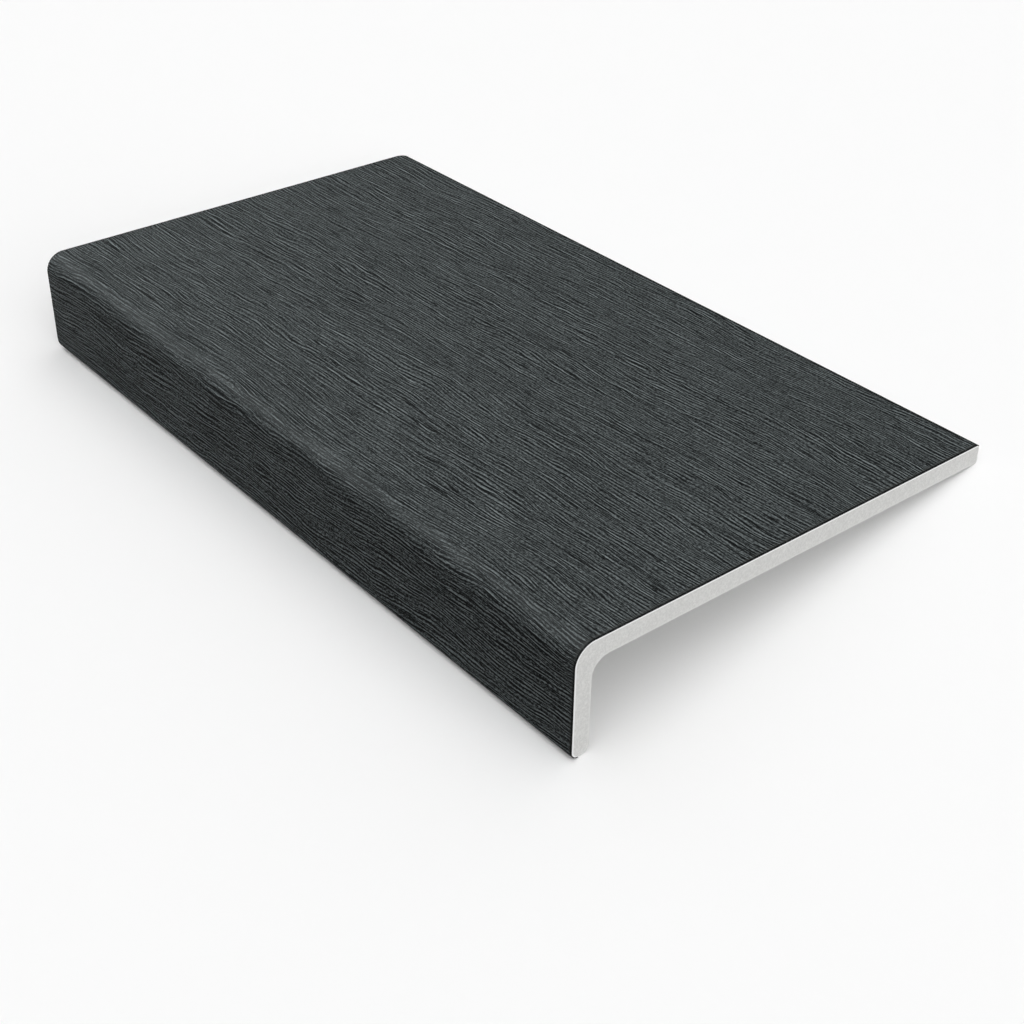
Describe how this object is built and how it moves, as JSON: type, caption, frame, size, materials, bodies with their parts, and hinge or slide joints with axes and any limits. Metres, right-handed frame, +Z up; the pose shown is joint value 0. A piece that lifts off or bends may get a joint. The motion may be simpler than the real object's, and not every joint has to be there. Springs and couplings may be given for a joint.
{
  "type": "fascia board",
  "caption": "Short length of bullnosed foamed-PVC fascia cover board with a dark woodgrain foil, an L section whose lip caps the edge behind it.",
  "frame": {"origin": "bottom centre of the box of the board as it lies on a level floor", "axes": "+X along the board towards its square end, +Y from the lip towards the plate's rear edge, +Z up"},
  "size_m": [0.41, 0.23, 0.0503],
  "materials": {
    "foam_pvc": "pale foamed PVC, sawn at the ends and smooth behind",
    "woodgrain_foil": "satin anthracite foil embossed with a fine woodgrain along the board"
  },
  "bodies": {
    "root": {"foam_core": "foam_pvc", "woodgrain_foil": "woodgrain_foil"}
  },
  "joints": []
}
